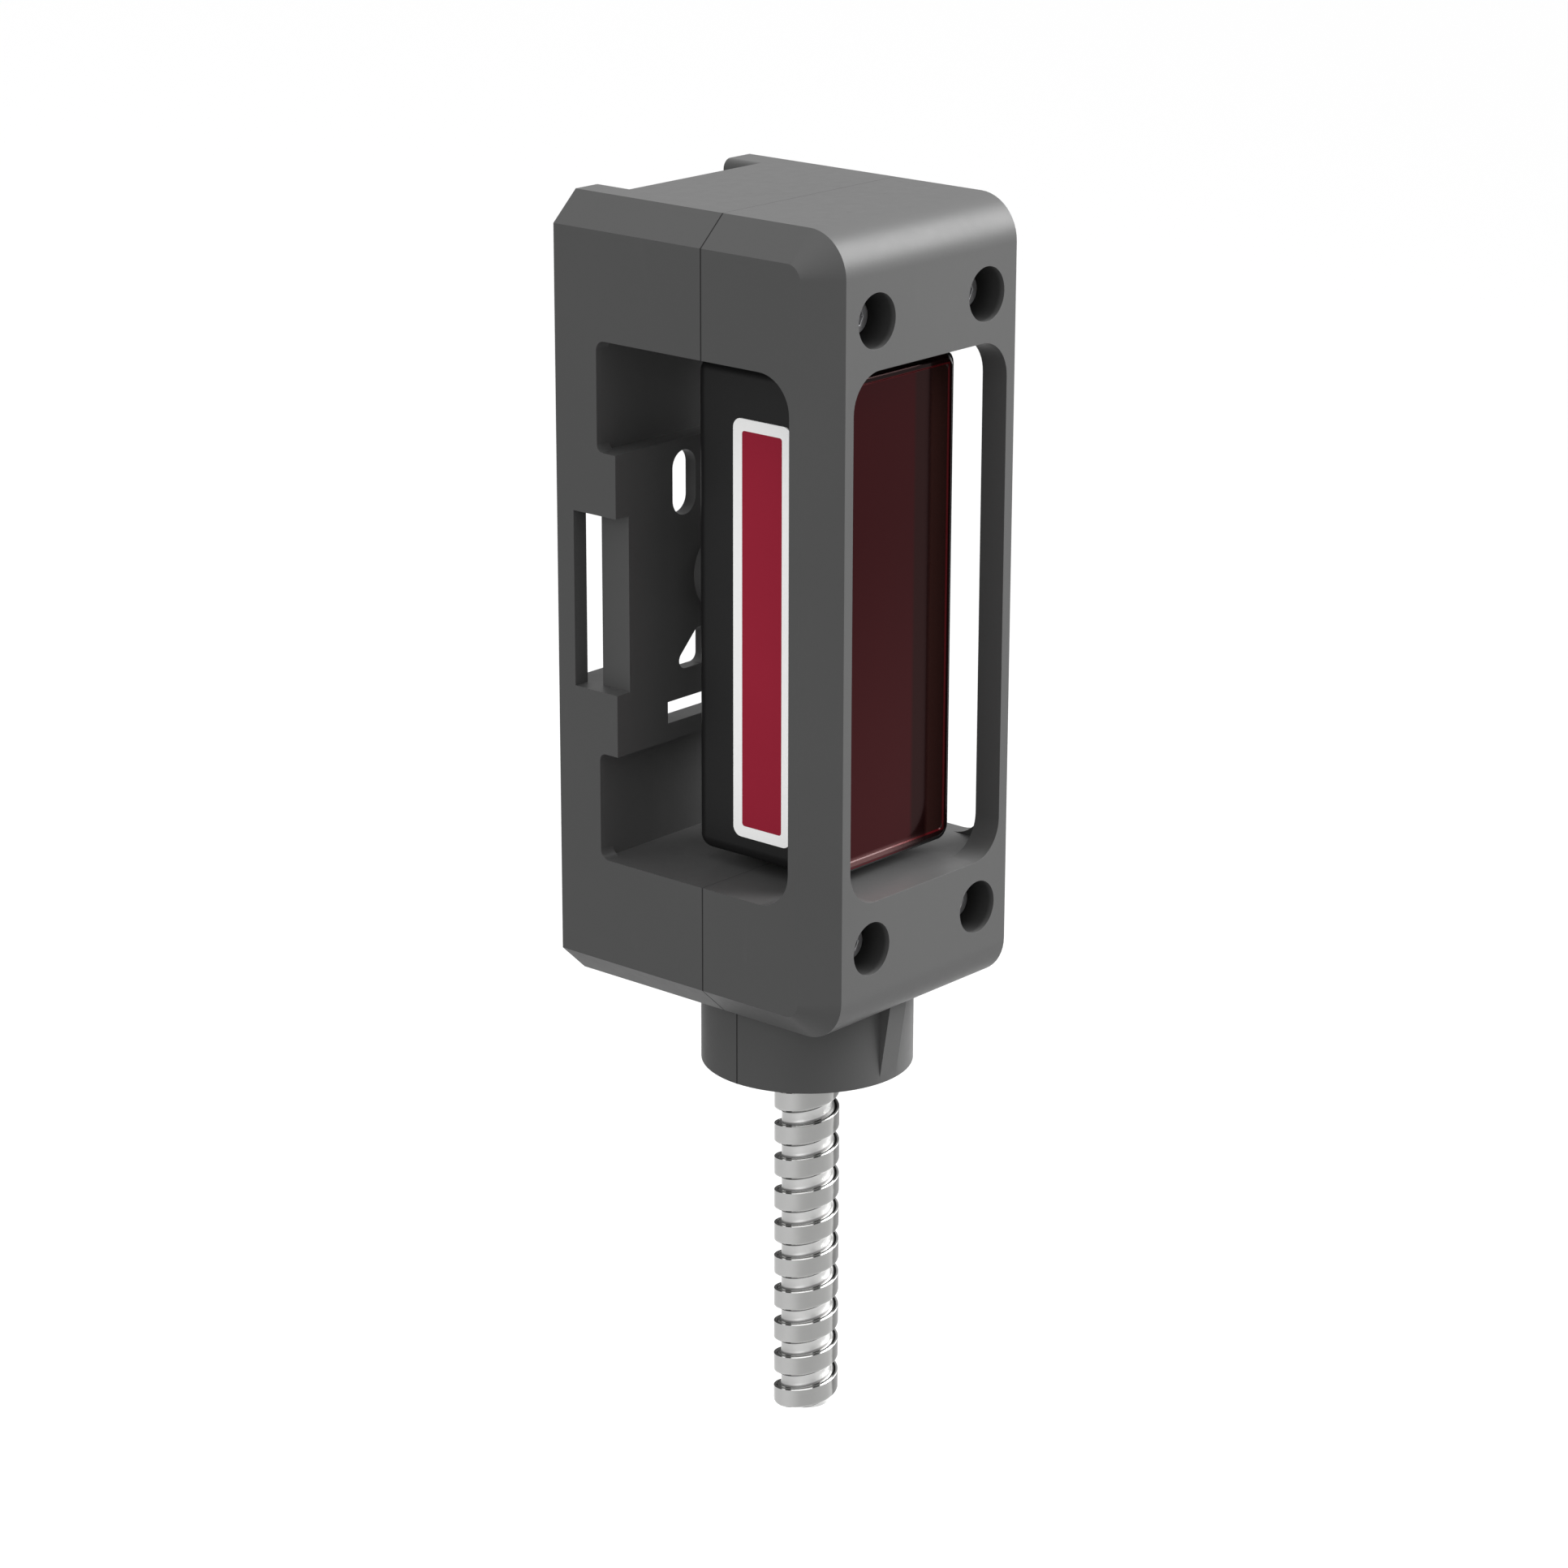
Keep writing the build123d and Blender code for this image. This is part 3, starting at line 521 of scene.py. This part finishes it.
def eased_edges(node, width_mm, segments=2):
    """Breaks the sharp edges of a CAD piece, so that they catch the light as a casting's or moulding's do."""
    piece = nodes[node]
    weld = piece.modifiers.new("joined_corners", "WELD")
    weld.merge_threshold = 0.002 * MM
    flat = piece.modifiers.new("whole_flats", "DECIMATE")
    flat.decimate_type = "DISSOLVE"
    flat.angle_limit = math.radians(0.5)
    bevel = piece.modifiers.new("eased_edges", "BEVEL")
    bevel.width = width_mm * MM
    bevel.segments = segments
    bevel.limit_method = "ANGLE"
    bevel.angle_limit = math.radians(EASED_ANGLE)
    bevel.use_clamp_overlap = True
    smooth = piece.modifiers.new("even_shading", "WEIGHTED_NORMAL")
    smooth.keep_sharp = False
    smooth.weight = 90


EASED = {
    "front_guard": 0.3, "rear_guard": 0.3, "sensor_case": 0.2,
    "guard_screw_top_left": 0.08, "guard_screw_top_right": 0.08, "guard_screw_bottom_left": 0.08,
    "guard_screw_bottom_right": 0.08, "sensor_label": 0.05, "conduit_bushing": 0.15,
    "seat_gasket": 0.2, "fixing_screw": 0.08,
}
for node, width_mm in EASED.items():
    eased_edges(node, width_mm)


def strip_profile():
    """One turn of the conduit's outside: (height above the ledge below it, radius), in millimetres.

    From the neck the strip swells out to its upright band. The band's top is rolled over, and a narrow
    groove parts it from the next turn's neck.
    """
    band, neck, pitch = CONDUIT_BAND_R, CONDUIT_NECK_R, CONDUIT_PITCH
    face, swell, rounding = CONDUIT_BAND_HEIGHT, CONDUIT_SWELL_HEIGHT, CONDUIT_TOP_ROUNDING
    groove_out = CONDUIT_GROOVE_R + CONDUIT_GROOVE_HALF_WIDTH
    groove_in = CONDUIT_GROOVE_R - CONDUIT_GROOVE_HALF_WIDTH
    groove_foot = pitch - CONDUIT_GROOVE_DEPTH
    swell_start = pitch - face - swell
    swell_steps = 10
    profile = [(0.22, neck), (swell_start * 0.4, neck), (swell_start * 0.85, neck)]
    for step in range(swell_steps + 1):
        share = step / swell_steps
        swollen = (1.0 - math.cos(math.pi * share)) / 2
        profile.append((swell_start + swell * share, neck + (band - neck) * swollen))
    profile += [(pitch - face + 0.25, band), (pitch - 0.9, band), (pitch - rounding, band)]
    profile += [(pitch, band - rounding), (pitch, groove_out), (groove_foot, groove_out)]
    profile += [(groove_foot, groove_in), (pitch, groove_in), (pitch + 0.01, neck + 0.1)]
    return profile


def round_row(shape, middle, level, radius, steps):
    """A ring of points at one height."""
    row = []
    for index in range(steps):
        angle = 2 * math.pi * index / steps
        x = middle.x + radius * math.cos(angle)
        y = middle.y + radius * math.sin(angle)
        row.append(shape.verts.new((x, y, level)))
    return row


def put_in_place(mesh, slot, node):
    """Makes a piece of a mesh, with its slot's finish, in the place of a CAD piece."""
    piece = bpy.data.objects.new(mesh.name, mesh)
    bpy.context.scene.collection.objects.link(piece)
    mesh.materials.append(FINISHES[slot])
    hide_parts(node)
    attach(piece, "root")


def wound_conduit():
    """The interlocked conduit: one wound strip outside, a plain bore, and both ends cut off flat."""
    low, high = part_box("flex_conduit")
    middle = (low + high) / 2
    pitch = CONDUIT_PITCH * MM
    profile = strip_profile()
    steps = 72
    turns = int((high.z - low.z) / pitch) + 4
    start = low.z + CONDUIT_LEDGE * MM - 2 * pitch
    shape = bmesh.new()
    rows = []
    for index in range(steps * turns + 1):
        angle = 2 * math.pi * index / steps
        climb = start + pitch * index / steps
        row = []
        for height, radius in profile:
            x = middle.x + radius * MM * math.cos(angle)
            y = middle.y + radius * MM * math.sin(angle)
            row.append(shape.verts.new((x, y, climb + height * MM)))
        rows.append(row)
    last = len(profile) - 1
    for index in range(len(rows) - 1):
        here, ahead = rows[index], rows[index + 1]
        for place in range(last):
            shape.faces.new((here[place], ahead[place], ahead[place + 1], here[place + 1]))
        if index + steps + 1 < len(rows):
            above, above_ahead = rows[index + steps], rows[index + steps + 1]
            shape.faces.new((here[last], ahead[last], above_ahead[0], above[0]))
    lower = round_row(shape, middle, low.z - pitch, CONDUIT_BORE_R * MM, steps)
    upper = round_row(shape, middle, high.z + pitch, CONDUIT_BORE_R * MM, steps)
    for index in range(steps):
        after = (index + 1) % steps
        shape.faces.new((lower[after], lower[index], upper[index], upper[after]))
    for level, direction in ((low.z, -1.0), (high.z, 1.0)):
        everything = shape.verts[:] + shape.edges[:] + shape.faces[:]
        bmesh.ops.bisect_plane(shape, geom=everything, plane_co=(0, 0, level),
                               plane_no=(0, 0, direction), clear_outer=True)
        rim = [edge for edge in shape.edges
               if edge.is_boundary and all(abs(vert.co.z - level) < 1e-7 for vert in edge.verts)]
        bmesh.ops.triangle_fill(shape, edges=rim, use_beauty=True, normal=(0, 0, direction))
    mesh = bpy.data.meshes.new("wound_conduit")
    shape.to_mesh(mesh)
    shape.free()
    for face in mesh.polygons:
        face.use_smooth = True
    mesh.set_sharp_from_angle(angle=math.radians(CONDUIT_SPLIT_ANGLE))
    put_in_place(mesh, "conduit_steel", "flex_conduit")


wound_conduit()


def rounded_outline(low_x, high_x, low_z, high_z, corner, steps=6):
    """The points of an upright rectangle with round corners, in order round it."""
    points = []
    corners = ((high_x - corner, high_z - corner, 0), (low_x + corner, high_z - corner, 90),
               (low_x + corner, low_z + corner, 180), (high_x - corner, low_z + corner, 270))
    for x, z, turn in corners:
        for step in range(steps + 1):
            angle = math.radians(turn + 90.0 * step / steps)
            points.append((x + corner * math.cos(angle), z + corner * math.sin(angle)))
    return points


def window_moulding():
    """The red window: a pane in the case, and a lip that laps over the case's front, with a bevelled rim."""
    case_low, case_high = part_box("sensor_case")
    pane_low, pane_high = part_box("front_window")
    case_front, back = case_low.y / MM, pane_high.y / MM
    pane_in = (pane_low.x - case_low.x) / MM
    lip_front = case_front - WINDOW_LIP_PROUD
    rings = (
        (back, pane_in), (case_front, pane_in),
        (case_front, WINDOW_LIP_INSET), (case_front - 0.12, WINDOW_LIP_INSET),
        (lip_front + 0.05, WINDOW_LIP_INSET + 0.5), (lip_front, WINDOW_LIP_INSET + 0.65),
        (lip_front, WINDOW_LIP_INSET + 1.3), (lip_front + 0.15, WINDOW_LIP_INSET + 1.45),
    )
    shape = bmesh.new()
    rows = []
    for depth, inset in rings:
        corner = WINDOW_CORNER_R - 0.6 * inset
        outline = rounded_outline(case_low.x / MM + inset, case_high.x / MM - inset,
                                  case_low.z / MM + inset, case_high.z / MM - inset, corner)
        rows.append([shape.verts.new((x * MM, depth * MM, z * MM)) for x, z in outline])
    for outer, inner in zip(rows, rows[1:]):
        for index in range(len(outer)):
            after = (index + 1) % len(outer)
            shape.faces.new((outer[index], outer[after], inner[after], inner[index]))
    shape.faces.new(rows[-1])
    shape.faces.new(rows[0][::-1])
    bmesh.ops.recalc_face_normals(shape, faces=shape.faces)
    mesh = bpy.data.meshes.new("window_moulding")
    shape.to_mesh(mesh)
    shape.free()
    put_in_place(mesh, "window_plastic", "front_window")


window_moulding()


def pale_floor():
    """A wide pale floor well below the part, painted grey where the photograph's camera doesn't see it."""
    mesh = bpy.data.meshes.new("pale_floor")
    reach, level = FLOOR_REACH, FLOOR_LEVEL
    corners = [(-reach, -reach, level), (reach, -reach, level), (reach, reach, level), (-reach, reach, level)]
    mesh.from_pydata(corners, [], [(0, 1, 2, 3)])
    floor = bpy.data.objects.new("pale_floor", mesh)
    bpy.context.scene.collection.objects.link(floor)
    finish = Finish("pale_floor")
    along, across = finish.axis("X") * MM, finish.axis("Y") * MM
    away = along * FLOOR_BEHIND[0] + across * FLOOR_BEHIND[1]
    behind = finish.ramp(away, FLOOR_BEHIND_START, FLOOR_BEHIND_FULL)
    rightward = (along - CAMERA_PLACE[0]) * FLOOR_EDGE_NORMAL[0]
    forward = (across - CAMERA_PLACE[1]) * FLOOR_EDGE_NORMAL[1]
    in_view = finish.ramp(rightward + forward, FLOOR_EDGE_START, FLOOR_EDGE_FULL)
    finish.feed("Base Color", finish.mixed(behind * in_view, (0.38, 0.38, 0.38), (0.88, 0.88, 0.88)))
    finish.feed("Roughness", 0.92)
    finish.feed("Specular IOR Level", 0.1)
    mesh.materials.append(finish.material)


def soft_light(name, place, size, power):
    """A square soft box that points at the part's middle."""
    data = bpy.data.lights.new(name, "AREA")
    data.shape = "SQUARE"
    data.size = size
    data.energy = power
    light = bpy.data.objects.new(name, data)
    bpy.context.scene.collection.objects.link(light)
    light.location = place
    light.rotation_mode = "QUATERNION"
    light.rotation_quaternion = (Vector(PART_MIDDLE) - Vector(place)).to_track_quat("-Z", "Y")


def overhead_light(strength):
    """Even light from a wide patch of ceiling, which reaches the far floor too."""
    data = bpy.data.lights.new("overhead_light", "SUN")
    data.energy = strength
    data.angle = math.radians(80.0)
    bpy.context.scene.collection.objects.link(bpy.data.objects.new("overhead_light", data))


def pale_surround():
    """An even pale surround, darker near the horizon and brighter overhead."""
    world = bpy.data.worlds.new("pale_surround")
    world.use_nodes = True
    sky = Nodes(world.node_tree)
    direction = sky.node("ShaderNodeTexCoord", {}, {}, "Generated")
    upward = sky.node("ShaderNodeSeparateXYZ", {}, {"Vector": direction}, "Z")
    overhead = sky.ramp(upward, 0.05, 0.6)
    tone = sky.mixed(overhead, (0.57, 0.57, 0.57), (0.85, 0.85, 0.85))
    background = world.node_tree.nodes["Background"]
    world.node_tree.links.new(tone.socket, background.inputs["Color"])
    background.inputs["Strength"].default_value = 1.0
    bpy.context.scene.world = world


def studio():
    """Soft studio light: surround, key light at the upper right, weak fill at the left, light from above."""
    pale_surround()
    soft_light("key_light", (1.02, -0.8, 0.8), 1.05, 54.0)
    soft_light("fill_light", (-1.3, -0.15, 0.3), 1.2, 5.2)
    overhead_light(1.0)
    bpy.context.scene.view_settings.view_transform = "Standard"


def camera():
    """The photograph's camera, fitted to it, with the part in the middle of the frame."""
    data = bpy.data.cameras.new("camera")
    data.sensor_width = CAMERA_SENSOR
    data.lens = CAMERA_LENS
    eye = bpy.data.objects.new("camera", data)
    bpy.context.scene.collection.objects.link(eye)
    eye.location = CAMERA_PLACE
    eye.rotation_mode = "QUATERNION"
    aim = Vector(CAMERA_AIM)
    roll = Matrix.Rotation(math.radians(CAMERA_ROLL), 3, aim).to_quaternion()
    eye.rotation_quaternion = roll @ aim.to_track_quat("-Z", "Y")
    data.clip_start = 0.01
    data.clip_end = 100.0
    bpy.context.scene.camera = eye


pale_floor()
studio()
camera()
